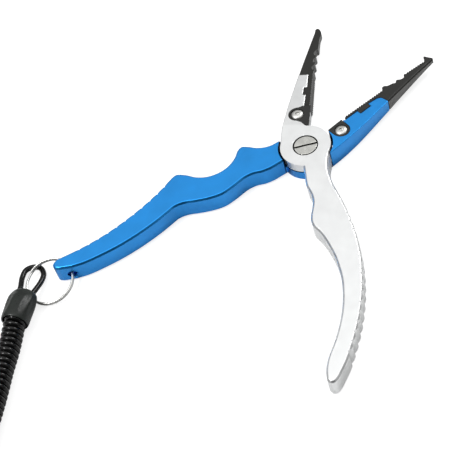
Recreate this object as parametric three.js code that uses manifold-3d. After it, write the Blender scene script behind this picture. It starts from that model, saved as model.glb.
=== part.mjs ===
// Aluminium fishing pliers lying open on a table, with a split ring and a coiled lanyard.
//
// Row frame: +Z is the pivot axis and points up, z = 0 is the underside of both handles and of the
// pivot nut, and the pivot axis passes through x = y = 0. +X runs along the fixed jaw's grip line
// towards its tip. All lengths are in millimetres.
import * as THREE from 'three';
import { mergeVertices } from 'three/addons/utils/BufferGeometryUtils.js';
import Module from 'manifold-3d';

// ---------- driving dimensions ----------
const THICKNESS = 9.5;          // frames, from table to top face
const OPEN_ANGLE = 43.3;        // degrees between the two grip lines at the open stop
const BOSS_R = 11.1;            // round laps about the pivot
const RECESS_R = 12.1;          // clearance cut round the other half's lap
const LAP_LOW_TOP = 4.4;        // top face of the fixed half's lap
const LAP_HIGH_FLOOR = 5.1;     // underside of the moving half's lap
const JAW_TAPER_START = 12;     // the jaws thin evenly from here to the tip
const JAW_TAPER_SLOPE = 0.0585; // on each face
const HANDLE_CHAMFER = 0.8;
const JAW_CHAMFER = 0.25;
const RIDGE_PITCH = 4.62;       // thumb ridges along the outer edge of each handle
const RIDGE_DEPTH = 1.15;

const BARREL_R = 4.0;           // pivot nut's barrel, on which the halves turn
const BARREL_CLEARANCE = 0.06;
const PIVOT_HEAD_R = 5.15;
const PIVOT_HEAD_Z = 7.0;       // underside of the pivot screw's head
const PIVOT_SHANK_R = 2.5;

const CUTTER_FLOOR = 6.0;       // pocket floor under a cutter blade
const CUTTER_TOP = 9.1;
const CUTTER_LOBE_R = 3.7;
const CUTTER_SEAT = 8.4;        // counterbore for the blade screw's head
const SEAT_GAP = 0.3;           // between a frame and a piece let into it
const SCREW_R = 1.5;
const TANG_REACH = 1.7;         // from an insert screw's axis to the tang's far side
const INSERT_HEAD_R = 1.8;

const RING_CENTRE = [-119.85, 32.15, 3.15];
const RING_NORMAL = [-0.177, -0.064, 1];
const RING_R = 10.5;            // centreline of the wire
const RING_WIRE = 1.0;          // two turns of this wire make the ring
const HOLE_CENTRE = [-110.1, 30.1, 4.7];
const HOLE_DIRECTION = [0.231, 0.967, 0.103];
const HOLE_R = 1.85;

const CORD_R = 1.2;
const COIL_R = 4.85;            // outer radius of the curly cord

const wasm = await Module();
wasm.setup();

// ---------- helpers ----------
const V2 = (x, y) => new THREE.Vector2(x, y);
const V3 = (x, y, z) => new THREE.Vector3(x, y, z);

function solid(geometry) {
  const plain = geometry.index ? geometry.clone() : geometry;
  plain.deleteAttribute('normal');
  plain.deleteAttribute('uv');
  const merged = mergeVertices(plain, 1e-4);
  return new wasm.Manifold(new wasm.Mesh({
    numProp: 3,
    vertProperties: new Float32Array(merged.attributes.position.array),
    triVerts: new Uint32Array(merged.index.array),
  }));
}

function geometryOf(body) {
  const result = body.getMesh();
  const geometry = new THREE.BufferGeometry();
  geometry.setAttribute('position', new THREE.BufferAttribute(result.vertProperties, 3));
  geometry.setIndex(new THREE.BufferAttribute(result.triVerts, 1));
  geometry.computeVertexNormals();
  return geometry;
}

function mesh(name, body, material) {
  const item = new THREE.Mesh(geometryOf(body), material);
  item.name = name;
  return item;
}

const subtractAll = (body, tools) => tools.reduce((rest, tool) => rest.subtract(tool), body);

// A flat plate with the given outline between two heights, with equal chamfers on both faces.
function plate(points, low, high, chamfer = 0) {
  const geometry = new THREE.ExtrudeGeometry(new THREE.Shape(points), {
    depth: high - low - 2 * chamfer,
    bevelEnabled: chamfer > 0,
    bevelThickness: chamfer,
    bevelSize: chamfer,
    bevelOffset: -chamfer,
    bevelSegments: 1,
  });
  geometry.translate(0, 0, low + chamfer);
  return solid(geometry);
}

function box(low, high) {
  const geometry = new THREE.BoxGeometry(high[0] - low[0], high[1] - low[1], high[2] - low[2]);
  geometry.translate((low[0] + high[0]) / 2, (low[1] + high[1]) / 2, (low[2] + high[2]) / 2);
  return solid(geometry);
}

// A solid of revolution about a vertical line through (x, y); the profile is [radius, z] pairs.
function turned(profile, x = 0, y = 0, segments = 32) {
  const geometry = new THREE.LatheGeometry(profile.map(([r, z]) => V2(r, z)), segments);
  geometry.rotateX(Math.PI / 2);
  geometry.translate(x, y, 0);
  return solid(geometry);
}

const pin = (radius, low, high, x = 0, y = 0, segments = 32) =>
  turned([[0, low], [radius, low], [radius, high], [0, high]], x, y, segments);

// Moves a body modelled along +Z so that its origin lies at `from` and +Z points along `direction`.
function aim(body, from, direction, up = V3(0, 0, 1)) {
  const axis = V3(...direction).normalize();
  const side = new THREE.Vector3().crossVectors(up, axis).normalize();
  const top = new THREE.Vector3().crossVectors(axis, side);
  const matrix = new THREE.Matrix4().makeBasis(side, top, axis);
  matrix.setPosition(...from);
  return body.transform(matrix.toArray());
}

// A round tube along a curve.
function tube(points, radius, sides, steps) {
  const section = [];
  for (let i = 0; i < sides; i += 1) {
    const angle = 2 * Math.PI * i / sides;
    section.push(V2(radius * Math.cos(angle), radius * Math.sin(angle)));
  }
  const path = new THREE.CatmullRomCurve3(points.map((p) => V3(...p)), false, 'centripetal');
  return solid(new THREE.ExtrudeGeometry(new THREE.Shape(section), { steps, extrudePath: path }));
}

// Smooth outline points through a few hand-set ones.
function smooth(points, perSpan = 3) {
  const curve = new THREE.CatmullRomCurve3(points.map(([x, y]) => V3(x, y, 0)), false, 'centripetal');
  return curve.getPoints(perSpan * (points.length - 1)).map((p) => V2(p.x, p.y));
}

const straight = (points) => points.map(([x, y]) => V2(x, y));

// A profile in Y and Z, extruded along X.
function prismAlongX(profile, from, to) {
  const geometry = new THREE.ExtrudeGeometry(new THREE.Shape(straight(profile)),
    { depth: to - from, bevelEnabled: false });
  geometry.applyMatrix4(new THREE.Matrix4().makeBasis(V3(0, 1, 0), V3(0, 0, 1), V3(1, 0, 0)));
  geometry.translate(from, 0, 0);
  return solid(geometry);
}

// The same outline moved outwards by `gap` all round, with mitred corners.
function grown(points, gap) {
  const turn = THREE.ShapeUtils.area(points) > 0 ? 1 : -1;
  return points.map((point, i) => {
    const before = point.clone().sub(points[(i + points.length - 1) % points.length]).normalize();
    const after = points[(i + 1) % points.length].clone().sub(point).normalize();
    const normal = V2(before.y, -before.x);
    const mitre = normal.clone().add(V2(after.y, -after.x)).normalize();
    return point.clone().addScaledVector(mitre, turn * gap / Math.max(0.6, mitre.dot(normal)));
  });
}

function arc(x, y, radius, from, to, steps) {
  const points = [];
  for (let i = 0; i <= steps; i += 1) {
    const angle = THREE.MathUtils.degToRad(from + (to - from) * i / steps);
    points.push(V2(x + radius * Math.cos(angle), y + radius * Math.sin(angle)));
  }
  return points;
}

// The two wedges that thin a jaw towards its tip.
function taperWedges() {
  const far = 90;
  const drop = JAW_TAPER_SLOPE * (far - JAW_TAPER_START);
  const wedge = (face, inward, outside) => {
    const profile = straight([[JAW_TAPER_START, face], [far, face + inward * drop], [far, outside],
      [JAW_TAPER_START, outside]]);
    const geometry = new THREE.ExtrudeGeometry(new THREE.Shape(profile),
      { depth: 60, bevelEnabled: false });
    geometry.rotateX(Math.PI / 2);
    geometry.translate(0, 30, 0);
    return solid(geometry);
  };
  return [wedge(THICKNESS, -1, THICKNESS + 8), wedge(0, 1, -8)];
}

// Breaks the top and bottom edges of a tapered flank that runs straight between two plan points.
function breakFlank(body, from, to, size) {
  const tools = [];
  for (const top of [true, false]) {
    const height = (x) => {
      const drop = JAW_TAPER_SLOPE * (x - JAW_TAPER_START);
      return top ? THICKNESS - drop : drop;
    };
    const start = V3(from[0], from[1], height(from[0]));
    const run = V3(to[0], to[1], height(to[0])).sub(start);
    const length = run.length();
    const diamond = turned([[0, -2], [size, -2], [size, length + 2], [0, length + 2]], 0, 0, 4);
    tools.push(aim(diamond, start.toArray(), run.toArray()));
  }
  return subtractAll(body, tools);
}

const taper = (body) => subtractAll(body, taperWedges());

// Thumb ridges: rounded crests with notches between them, cut through a handle's outer edge.
function cutRidges(body, edge, outward, count) {
  const curve = new THREE.CatmullRomCurve3(edge.map(([x, y]) => V3(x, y, 0)), false, 'centripetal');
  const length = curve.getLength();
  const cutters = [];
  for (let i = 0; i <= count; i += 1) {
    const at = Math.min(1, i * RIDGE_PITCH / length);
    const centre = curve.getPointAt(at);
    const along = curve.getTangentAt(at);
    const out = V3(-along.y * outward, along.x * outward, 0);
    const points = [];
    for (const s of [-0.5, -0.3, -0.15, 0, 0.15, 0.3, 0.5]) {
      const lift = 0.01 - RIDGE_DEPTH * (1 - 2 * Math.abs(s)) ** 2;
      const place = centre.clone().addScaledVector(along, s * RIDGE_PITCH).addScaledVector(out, lift);
      points.push(V2(place.x, place.y));
    }
    for (const s of [0.5, -0.5]) {
      const place = centre.clone().addScaledVector(along, s * RIDGE_PITCH).addScaledVector(out, 2);
      points.push(V2(place.x, place.y));
    }
    if (THREE.ShapeUtils.area(points) < 0) points.reverse();
    cutters.push(plate(points, -1, THICKNESS + 1));
  }
  return subtractAll(body, cutters);
}

// ---------- materials ----------
const material = (color, metalness, roughness) => new THREE.MeshStandardMaterial({ color, metalness,
  roughness });
const BLUE = [0x2a8fe0, 0.55, 0.38];
const SILVER = [0xeceeee, 0.6, 0.35];
const BLACK_STEEL = [0x3e3e3b, 0.6, 0.45];
const STAINLESS = [0xd2d2cd, 1, 0.25];
const BRONZE = [0xb08d57, 1, 0.4];
const BLACK_PLASTIC = [0x151515, 0, 0.3];

// ---------- outlines, in each half's own closed frame ----------
// Fixed half: jaw below the grip line y = 0, handle going to -X, +Y.
const FIXED_HANDLE_OUTER = [[-6.1, 11.35], [-9.8, 12.2], [-12.6, 13.8], [-15, 16.2], [-16.95, 19.3],
  [-19.1, 21.5], [-21.55, 21.1], [-24.95, 19], [-29.8, 17.6], [-34.6, 17.9], [-39.65, 20.1], [-43.1, 23.6],
  [-45.6, 28.3], [-48.5, 31.5], [-52.4, 31.3], [-56.1, 30.5], [-60.6, 29.8], [-69.8, 28.95],
  [-79.15, 28.85],
  [-88.1, 29.35], [-97.3, 30.75], [-103.6, 32.2], [-110.2, 34.1]];
const FIXED_HANDLE_END = [[-112.5, 34.8], [-115, 33.8], [-115.75, 31.4], [-114.45, 29.4]];
const FIXED_HANDLE_INNER = [[-110, 26.1], [-105.15, 23.7], [-100.1, 22], [-90.1, 19.45], [-80.05, 17.95],
  [-70, 17.4], [-63.95, 17.55], [-59.8, 17.6], [-56, 16.15], [-51.4, 12.7], [-46.65, 9.5], [-41.6, 7.25],
  [-36, 6.7],
  [-29.1, 6.6], [-25.3, 5.5], [-21.7, 3.3], [-18.1, 2], [-14.05, 1.3], [-11.2, 0.8]];
const FIXED_RIDGES = [[-56.4, 30.5], [-60.6, 29.8], [-69.8, 28.95], [-79.15, 28.85], [-88.1, 29.35],
  [-97.3, 30.75], [-103.6, 32.2]];
const FIXED_JAW_OUTER = [[0, -11.1], [5, -11.45], [10, -11.4], [15, -11.15], [20, -10.8], [25, -10.2],
  [30, -9.5],
  [35, -8.75], [41.25, -7.85]];
const FIXED_JAW_NOSE = [[41.5, -6.7], [41.25, -5.3], [40.7, -3.7], [39.2, -2.8]];

// Moving half: jaw above the grip line y = 0, handle going to -X, -Y.
const MOVING_HANDLE_OUTER = [[0.5, -11], [-4.4, -11], [-8, -10.7], [-10.4, -10.7], [-13, -11.2],
  [-16.7, -12.3],
  [-20.9, -13.85], [-25.1, -16.15], [-29.6, -18.5], [-36.5, -21.8], [-45.8, -25.4], [-55.05, -28.1],
  [-65.05, -29.95],
  [-75.85, -30.9], [-85.9, -30.75], [-94.75, -29.85], [-103.95, -28.25], [-108.9, -27.05]];
const MOVING_HANDLE_END = [[-112.3, -25.9], [-115.8, -24.6], [-118, -23], [-118.2, -21.2], [-117, -19.9]];
const MOVING_HANDLE_INNER = [[-113.8, -19.2], [-110.5, -19.1], [-106.8, -19.5], [-99.1, -21.35],
  [-89.95, -22.7],
  [-80.6, -22.9], [-70.15, -21.6], [-62.3, -19.2], [-57.85, -17.4], [-49.6, -12.8], [-46.1, -10.2],
  [-43.4, -7.7],
  [-40.6, -6.35], [-37.4, -5.95], [-33.95, -6.15], [-30.7, -6.1], [-27.6, -5.4], [-24.4, -3.95],
  [-21.45, -2.4],
  [-16.7, -1.3], [-11.6, -0.2]];
const MOVING_RIDGES = [[-36.5, -21.8], [-45.8, -25.4], [-55.05, -28.1], [-65.05, -29.95], [-75.85, -30.9],
  [-85.9, -30.75], [-94.75, -29.85], [-103.95, -28.25], [-108.9, -27.05]];
const MOVING_JAW_OUTER = [[0, 11.1], [5, 11.4], [10, 11.45], [15, 11.1], [20, 10.65], [25, 10.1],
  [30, 9.45],
  [35, 8.75], [40, 8], [42.8, 7.6]];

// Cutter blades: sharp edge on the grip line, round lobe about the screw. `metal` is the side of the edge
// that the blade is on.
const FIXED_CUTTER = { screw: [16.2, -5.2], edge: [[12.4, -0.8], [20.2, -0.8]], shoulder: [[20, -3.4]],
  lobe: [0, -180], foot: [[12.4, -3]], metal: -1 };
const MOVING_CUTTER = { screw: [18.3, 5.5], edge: [[23.2, -0.1], [11.4, -0.35]], shoulder: [[11.6, 1.2],
  [13.6, 3.1]],
  lobe: [180, 0], foot: [[23.2, 3]], metal: 1 };
const FIXED_INSERT_SCREW = [31.6, -6.1];
const MOVING_INSERT_SCREW = [37.4, 5];

// ---------- frames ----------
function cutterOutline(cutter) {
  const [x, y] = cutter.screw;
  const lobe = arc(x, y, CUTTER_LOBE_R, cutter.lobe[0], cutter.lobe[1], 14);
  return [...straight(cutter.edge), ...straight(cutter.shoulder), ...lobe, ...straight(cutter.foot)];
}

const tangBox = (screw, grow, open) => {
  const [x, y] = screw;
  const reach = y < 0 ? [y - TANG_REACH - grow, open] : [open, y + TANG_REACH + grow];
  return box([x - 3.6 - grow, reach[0], 3.2 - grow], [x + 3.6 + grow, reach[1], 6.3 + grow]);
};

// What both frames have cut out of them: cutter pocket, screw holes, tang slot and pivot bore.
function fitCuts(body, cutter, insertScrew, gripSide) {
  const pocket = grown(cutterOutline(cutter), SEAT_GAP);
  const [sx, sy] = cutter.screw;
  const [ix, iy] = insertScrew;
  return subtractAll(body, [
    plate(pocket, CUTTER_FLOOR - SEAT_GAP, THICKNESS + 2),
    pin(SCREW_R + SEAT_GAP / 2, 1.6, THICKNESS, sx, sy, 24),
    tangBox(insertScrew, SEAT_GAP, gripSide),
    turned([[0, -1], [INSERT_HEAD_R + 0.2, -1], [INSERT_HEAD_R + 0.2, 2.1], [1.4, 2.8], [1.4, 7], [0, 7]],
      ix, iy, 24),
    pin(BARREL_R + BARREL_CLEARANCE, -1, THICKNESS + 1, 0, 0, 48),
  ]);
}

function fixedFrame() {
  const handle = cutRidges(plate([...smooth(FIXED_HANDLE_OUTER, 2), ...smooth(FIXED_HANDLE_END, 2),
    ...smooth(FIXED_HANDLE_INNER, 2), V2(-2, 0), V2(-1, 6)].reverse(), 0, THICKNESS, HANDLE_CHAMFER),
  FIXED_RIDGES, -1, 10);
  const jaw = taper(plate([...smooth(FIXED_JAW_OUTER, 2), ...smooth(FIXED_JAW_NOSE, 2),
    ...straight([[34.6, -2.4], [34.6, -4.2], [28.6, -4.2], [28.4, -2.1], [21.4, -2.1], [20.9, -1.6],
      [10, -1.6],
      [4, -2], [-2, -6]])], 0, THICKNESS, JAW_CHAMFER));
  const lap = pin(BOSS_R, 0, LAP_LOW_TOP, 0, 0, 64);
  const recess = pin(RECESS_R, LAP_LOW_TOP, THICKNESS + 1, 0, 0, 64);
  const nutSeat = pin(5.4, -1, 2.1, 0, 0, 48);
  const ringHole = aim(pin(HOLE_R, -8, 8, 0, 0, 20), HOLE_CENTRE, HOLE_DIRECTION);
  const joined = handle.add(jaw).add(lap).subtract(recess).subtract(nutSeat).subtract(ringHole);
  return fitCuts(joined, FIXED_CUTTER, FIXED_INSERT_SCREW, 2);
}

function movingFrame() {
  const handle = cutRidges(plate([...smooth(MOVING_HANDLE_OUTER, 2), ...smooth(MOVING_HANDLE_END, 2),
    ...smooth(MOVING_HANDLE_INNER, 2), V2(-2, 0), V2(2, -6)].reverse(), 0, THICKNESS, HANDLE_CHAMFER),
  MOVING_RIDGES, 1, 15);
  const jaw = taper(plate([...straight([[2, 6], [4, 1.4], [11.2, 0.9], [23.4, 0.9], [23.4, 3], [30.2, 3],
    [30.2, 4.4],
    [34.9, 4.4], [34.9, 3], [42.8, 3.2]]), ...smooth([...MOVING_JAW_OUTER].reverse(), 2)],
    0, THICKNESS, JAW_CHAMFER));
  const lap = pin(BOSS_R, LAP_HIGH_FLOOR, THICKNESS, 0, 0, 64);
  const recess = pin(RECESS_R, -1, LAP_HIGH_FLOOR, 0, 0, 64);
  const headSeat = pin(PIVOT_HEAD_R + 0.3, PIVOT_HEAD_Z - 0.15, THICKNESS + 1, 0, 0, 48);
  return fitCuts(handle.add(jaw).add(lap).subtract(recess).subtract(headSeat),
    MOVING_CUTTER, MOVING_INSERT_SCREW, -2);
}

// ---------- jaw inserts ----------
// Fine serrations along a straight run of the grip face; `sign` points out of the metal.
function serrations(from, to, teeth, depth, sign) {
  const points = [];
  for (let i = 0; i < teeth; i += 1) {
    const t0 = i / teeth;
    const t1 = (i + 0.72) / teeth;
    const x0 = from[0] + (to[0] - from[0]) * t0;
    const y0 = from[1] + (to[1] - from[1]) * t0;
    const x1 = from[0] + (to[0] - from[0]) * t1;
    const y1 = from[1] + (to[1] - from[1]) * t1;
    points.push(V2(x0, y0 - sign * depth), V2(x1, y1));
  }
  points.push(V2(to[0], to[1] - sign * depth));
  return points;
}

function insertTang(body, screw) {
  const [x, y] = screw;
  const reach = y < 0 ? [y - TANG_REACH, -1.9] : [2.4, y + TANG_REACH];
  const tang = box([x - 3.6, reach[0], 3.2], [x + 3.6, reach[1], 6.3]);
  return body.add(tang).subtract(pin(SCREW_R - 0.25, 2, 5.8, x, y, 24));
}

function fixedInsert() {
  const strip = serrations([22.4, -0.55], [43.6, -0.95], 17, 0.45, 1);
  const crests = straight([[44.4, -0.7], [45.2, 0.3], [46.4, 0.3], [47.4, -0.6], [48.6, -1], [50, -1.3],
    [51, -1.9],
    [51.6, -1.8], [52, -1.2], [53, -1.2], [53.8, -1.9], [55, -2.3], [56, -2.2], [56.6, -1.4],
    [57.4, -0.9]]);
  const nose = serrations([58.2, -1], [68, -1.5], 8, 0.45, 1);
  const hook = straight([[68.6, -1.9], [69.2, -1.5], [70.4, 0.65], [70.8, 0.5], [71.6, -1.2], [72.5, -3],
    [72.3, -3.6]]);
  const flank = straight([[66, -4.35], [60, -5.1], [53, -6.1], [47, -6.95], [41.65, -7.8]]);
  const seat = straight([[41.8, -6.7], [41.55, -5.2], [40.95, -3.45], [39.2, -2.45], [34.3, -2.1],
    [34.3, -3.9],
    [28.9, -3.9], [28.7, -1.8], [22, -1.8], [21.9, -1.2]]);
  const outline = [...strip, ...crests, ...nose, ...hook, ...flank, ...seat];
  const nosePiece = breakFlank(taper(plate(outline, 0, THICKNESS)), [41.65, -7.8], [72.3, -3.6], 0.4);
  return insertTang(nosePiece, FIXED_INSERT_SCREW);
}

function movingInsert() {
  const strip = serrations([24, 0.45], [42.6, 0.95], 16, 0.4, -1);
  const scallops = [];
  for (const x of [45.6, 50.2, 54.8]) {
    scallops.push(...straight([[x - 1, 0.95], [x, 0.9], [x + 0.35, 1.6], [x + 1.4, 2.1], [x + 2.6, 1.9]]));
  }
  const pad = straight([[58.7, 1.2], [59, 0.45], [62, 0.45], [66, 0.4], [68.9, -0.15], [70.4, 0.2],
    [71.8, 0.9],
    [72.6, 1.8], [72.3, 2.7], [71.4, 3.1]]);
  const flank = straight([[65.5, 4.1], [58.6, 5.2], [51.6, 6.35], [46, 7.2], [43.1, 7.6]]);
  const seat = straight([[43.1, 2.9], [34.6, 2.7], [34.6, 4.1], [30.5, 4.1], [30.5, 2.7], [23.8, 2.7],
    [23.8, 0.9]]);
  const outline = [...strip, ...scallops, ...pad, ...flank, ...seat];
  const nosePiece = breakFlank(taper(plate(outline, 0, THICKNESS)), [43.1, 7.6], [71.4, 3.1], 0.6);
  return insertTang(nosePiece, MOVING_INSERT_SCREW);
}

const insertScrew = ([x, y]) =>
  turned([[0, 1.1], [INSERT_HEAD_R, 1.1], [INSERT_HEAD_R, 1.9], [1.1, 2.6], [1.1, 5.6], [0, 5.6]], x, y, 24)
    .subtract(turned(hexProfile(0.75, 0.5, 1.8), x, y, 6));

function hexProfile(radius, low, high) {
  return [[0, low], [radius, low], [radius, high], [0, high]];
}

// ---------- cutters and their screws ----------
function cutterBlade(cutter) {
  const blade = plate(cutterOutline(cutter), CUTTER_FLOOR, CUTTER_TOP);
  const edgeY = cutter.edge[0][1];
  const inward = cutter.metal;
  const bevel = prismAlongX([[edgeY - inward, CUTTER_TOP - 0.2], [edgeY, CUTTER_TOP - 0.2],
    [edgeY + inward * 2.2, CUTTER_FLOOR - 1], [edgeY - inward, CUTTER_FLOOR - 1]], 5, 30);
  const hole = pin(SCREW_R + 0.12, 0, THICKNESS + 2, cutter.screw[0], cutter.screw[1], 24);
  const seat = pin(3.05, CUTTER_SEAT, THICKNESS + 2, cutter.screw[0], cutter.screw[1], 28);
  return subtractAll(blade, [bevel, hole, seat]);
}

function buttonScrew([x, y], tip, seat) {
  const dome = [[0, tip], [SCREW_R, tip], [SCREW_R, seat], [2.8, seat], [2.75, seat + 0.35],
    [2.35, seat + 0.8],
    [1.7, seat + 1.1], [0, seat + 1.2]];
  return turned(dome, x, y, 28).subtract(turned(hexProfile(1.05, seat + 0.35, seat + 3), x, y, 6));
}

// ---------- pivot ----------
function barrelNut() {
  const body = turned([[0, 0], [5.2, 0], [5.2, 1.9], [BARREL_R, 1.9], [BARREL_R, 6.8],
    [PIVOT_SHANK_R + 0.1, 6.8],
    [PIVOT_SHANK_R + 0.1, 1.4], [0, 1.4]], 0, 0, 48);
  return subtractAll(body, [[3.6, 0], [-3.6, 0]].map(([x, y]) => pin(0.7, -1, 0.9, x, y, 16)));
}

function pivotScrew() {
  const body = turned([[0, 1.7], [PIVOT_SHANK_R, 1.7], [PIVOT_SHANK_R, PIVOT_HEAD_Z],
    [PIVOT_HEAD_R, PIVOT_HEAD_Z],
    [PIVOT_HEAD_R, 9.3], [PIVOT_HEAD_R - 0.2, 9.5], [0, 9.5]], 0, 0, 48);
  const slot = box([-8, -0.45, 8.5], [8, 0.45, 12]);
  return body.subtract(slot.rotate([0, 0, -32]));
}

const lapWasher = () => turned([[BARREL_R + 0.15, 4.5], [8, 4.5], [8, 5], [BARREL_R + 0.15, 5],
  [BARREL_R + 0.15, 4.5]], 0, 0, 48);

// ---------- split ring ----------
function splitRing() {
  const profile = [];
  for (const [r, z] of [[-0.5, -0.5], [-0.22, -1], [0.22, -1], [0.5, -0.5], [0.5, 0.5], [0.22, 1],
    [-0.22, 1],
    [-0.5, 0.5], [-0.5, -0.5]]) {
    profile.push([RING_R + r * RING_WIRE, z * RING_WIRE]);
  }
  return aim(turned(profile, 0, 0, 48), RING_CENTRE, RING_NORMAL, V3(0, 1, 0));
}

// ---------- lanyard ----------
const NEAR_LOOP = [[-134.2, 35.4, 4.8], [-130.7, 39, 3.8], [-127.1, 43.5, 2.8], [-123.6, 45.9, 2.2],
  [-120.3, 45.3, 1.6], [-118.3, 42.7, 1.35], [-119.2, 38.9, 1.45], [-122.3, 35.8, 2.3], [-126.9, 33, 3.6],
  [-130.6, 31, 4.7], [-134.4, 28.6, 5.6]];
const SLEEVE_START = [-131, 33.45, 6.1];
const SLEEVE_RUN = [-0.79, -0.61, 0];
const SLEEVE_STATIONS = [[0, 4, 2.9], [0.8, 5, 3.4], [2, 5.9, 3.7], [4, 6.5, 4.5], [7, 6.6, 5.3],
  [10.8, 6.3, 5.8],
  [15, 6, 5.9], [15.6, 5.8, 5.7]];
const SLEEVE_MOUTH_DEPTH = 4.2;
const COIL_PATH = [[-140.5, 26.13, 6.1], [-144, 23.2, 5.9], [-147.9, 19.6, 5.3], [-152.5, 15.35, 4.95],
  [-159.9, 9.05, 4.9], [-166.8, 2.65, 4.9], [-172, -2.05, 4.9], [-177.9, -7.15, 4.9], [-191, -18.5, 4.9],
  [-203.5, -31, 4.9], [-213.5, -44.5, 4.9], [-219.6, -58, 4.95], [-222.4, -70.5, 5.7], [-222.5, -77, 6.1]];

// A moulded sleeve along +Z: oval at the cord's end, round at its open mouth, where the coil goes in.
// Each station is [distance, half width, half height].
function sleeveBarrel() {
  const length = SLEEVE_STATIONS[SLEEVE_STATIONS.length - 1][0];
  const profile = [V2(0, 0), ...SLEEVE_STATIONS.map(([z]) => V2(1, z)), V2(0, length)];
  const geometry = new THREE.LatheGeometry(profile, 28);
  geometry.rotateX(Math.PI / 2);
  const position = geometry.attributes.position;
  for (let i = 0; i < position.count; i += 1) {
    const station = THREE.MathUtils.clamp(i % profile.length - 1, 0, SLEEVE_STATIONS.length - 1);
    const [, width, height] = SLEEVE_STATIONS[station];
    position.setXY(i, position.getX(i) * width, position.getY(i) * height);
  }
  return solid(geometry).subtract(pin(COIL_R + SEAT_GAP, length - SLEEVE_MOUTH_DEPTH, length + 2));
}

const nearSleeve = () => aim(sleeveBarrel(), SLEEVE_START, SLEEVE_RUN)
  .subtract(tube(NEAR_LOOP, CORD_R + SEAT_GAP, 10, 48));

// ---------- snap hook, along +X from the far sleeve, lying on the table ----------
const HOOK_LEVEL = 3.9;
const FAR_LOOP = [[-3, 0, 7.6], [0, 0, 7.4], [4, 0, 7], [7, 0, 6.55], [9.6, 0, 6], [11.1, 0, 3.9],
  [9.6, 0, 1.9],
  [6.5, 0, 1.35], [3.4, 0, 2.2], [0, 0, 4], [-3, 0, 4.8]];
const EYE_X = 12.4;
const COLLAR_X = 16.1;
const HOOK_X = 21;
const GATE_PIN = [HOOK_X + 3.8, 3.3];
const FAR_END_ANGLE = -90;
const FAR_SLEEVE_END = [-222.5, -90.3, 0];

const farSleeve = () => aim(sleeveBarrel(), [0, 0, 6.1], [-1, 0, 0])
  .subtract(tube(FAR_LOOP, CORD_R + SEAT_GAP, 10, 40));

const alongX = (body, x, y, z) => aim(body, [x, y, z], [1, 0, 0]);

function swivelEye() {
  const ring = [];
  for (const p of arc(4.6, 0, 1, 0, 360, 10)) ring.push([p.x, p.y]);
  const eye = turned(ring, EYE_X, 0, 32).translate([0, 0, HOOK_LEVEL]);
  const collar = alongX(turned([[0, 0], [2.4, 0], [2.7, 0.5], [2.7, 3.8], [0, 3.8]],
    0, 0, 24), COLLAR_X, 0, HOOK_LEVEL);
  const bore = alongX(pin(1.35, -4, 8, 0, 0, 24), COLLAR_X, 0, HOOK_LEVEL);
  const headRoom = alongX(pin(2.3, -1.8, 0, 0, 0, 24), COLLAR_X, 0, HOOK_LEVEL);
  return eye.add(collar).subtract(bore).subtract(headRoom);
}

function snapHook() {
  const outer = smooth([[0, -3], [3, -5.4], [8, -6.4], [14, -6.8], [19, -6.8], [24, -5.6], [27.4, -2.2],
    [28, 1.2],
    [26, 4.6], [22.6, 6.2], [20, 6]], 2);
  const inner = smooth([[19.6, 4.2], [22, 3.4], [23.9, 1.4], [24, -0.8], [21.6, -3], [17, -3.6],
    [9.6, -3.3],
    [6.6, -2.2], [5.6, 0.6], [6.4, 3], [6.2, 5.4]], 2);
  const back = straight([[3.4, 6.2], [0.6, 5], [0, 3]]);
  const body = plate([...outer, ...inner, ...back],
    HOOK_LEVEL - 2.3, HOOK_LEVEL + 2.3, 0.5).translate([HOOK_X, 0, 0]);
  const shank = alongX(turned([[0, 0], [1.9, 0], [1.9, 1], [1.25, 1.05], [1.25, 5.6], [2.9, 5.7],
    [2.9, 7.5], [0, 7.5]],
    0, 0, 24), COLLAR_X - 1.35, 0, HOOK_LEVEL);
  const slot = box([HOOK_X + 1.7, -1.4, HOOK_LEVEL - 1.25], [HOOK_X + 24, 7, HOOK_LEVEL + 1.25]);
  const slotEnd = box([HOOK_X + 7, -8, 0], [HOOK_X + 30, 8, 9]);
  return body.subtract(slot.subtract(slotEnd)).add(shank).subtract(pin(0.95, 0, 9, ...GATE_PIN, 16));
}

function hookGate() {
  const [x, y] = GATE_PIN;
  const low = HOOK_LEVEL - 1;
  const high = HOOK_LEVEL + 1;
  const bar = plate(straight([[x, y - 0.9], [x + 12, y - 1.2], [x + 17.4, y - 1.4], [x + 17.4, y - 0.2],
    [x + 15.2, y + 0.8],
    [x + 14.8, y + 1.6], [x, y + 1.7]]), low, high, 0.2);
  const springRoom = pin(2.2, HOOK_LEVEL + 0.1, 9, x, y, 24);
  return bar.add(pin(1.8, low, high, x, y, 24)).subtract(springRoom).subtract(pin(0.72, 0, 9, x, y, 20));
}

// The torsion spring's coil about the gate pin, with its fixed leg in the body.
function gateSpring() {
  const [x, y] = GATE_PIN;
  const low = HOOK_LEVEL + 0.3;
  const coil = turned([[0.95, low], [1.6, low], [1.6, low + 0.7], [0.95, low + 0.7], [0.95, low]],
    x, y, 24);
  return coil.add(box([x - 1.4, y - 4.2, low + 0.1], [x - 0.95, y, low + 0.6]));
}

const group = new THREE.Group();
const moving = new THREE.Group();
moving.rotation.z = THREE.MathUtils.degToRad(OPEN_ANGLE);
group.add(moving);

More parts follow.
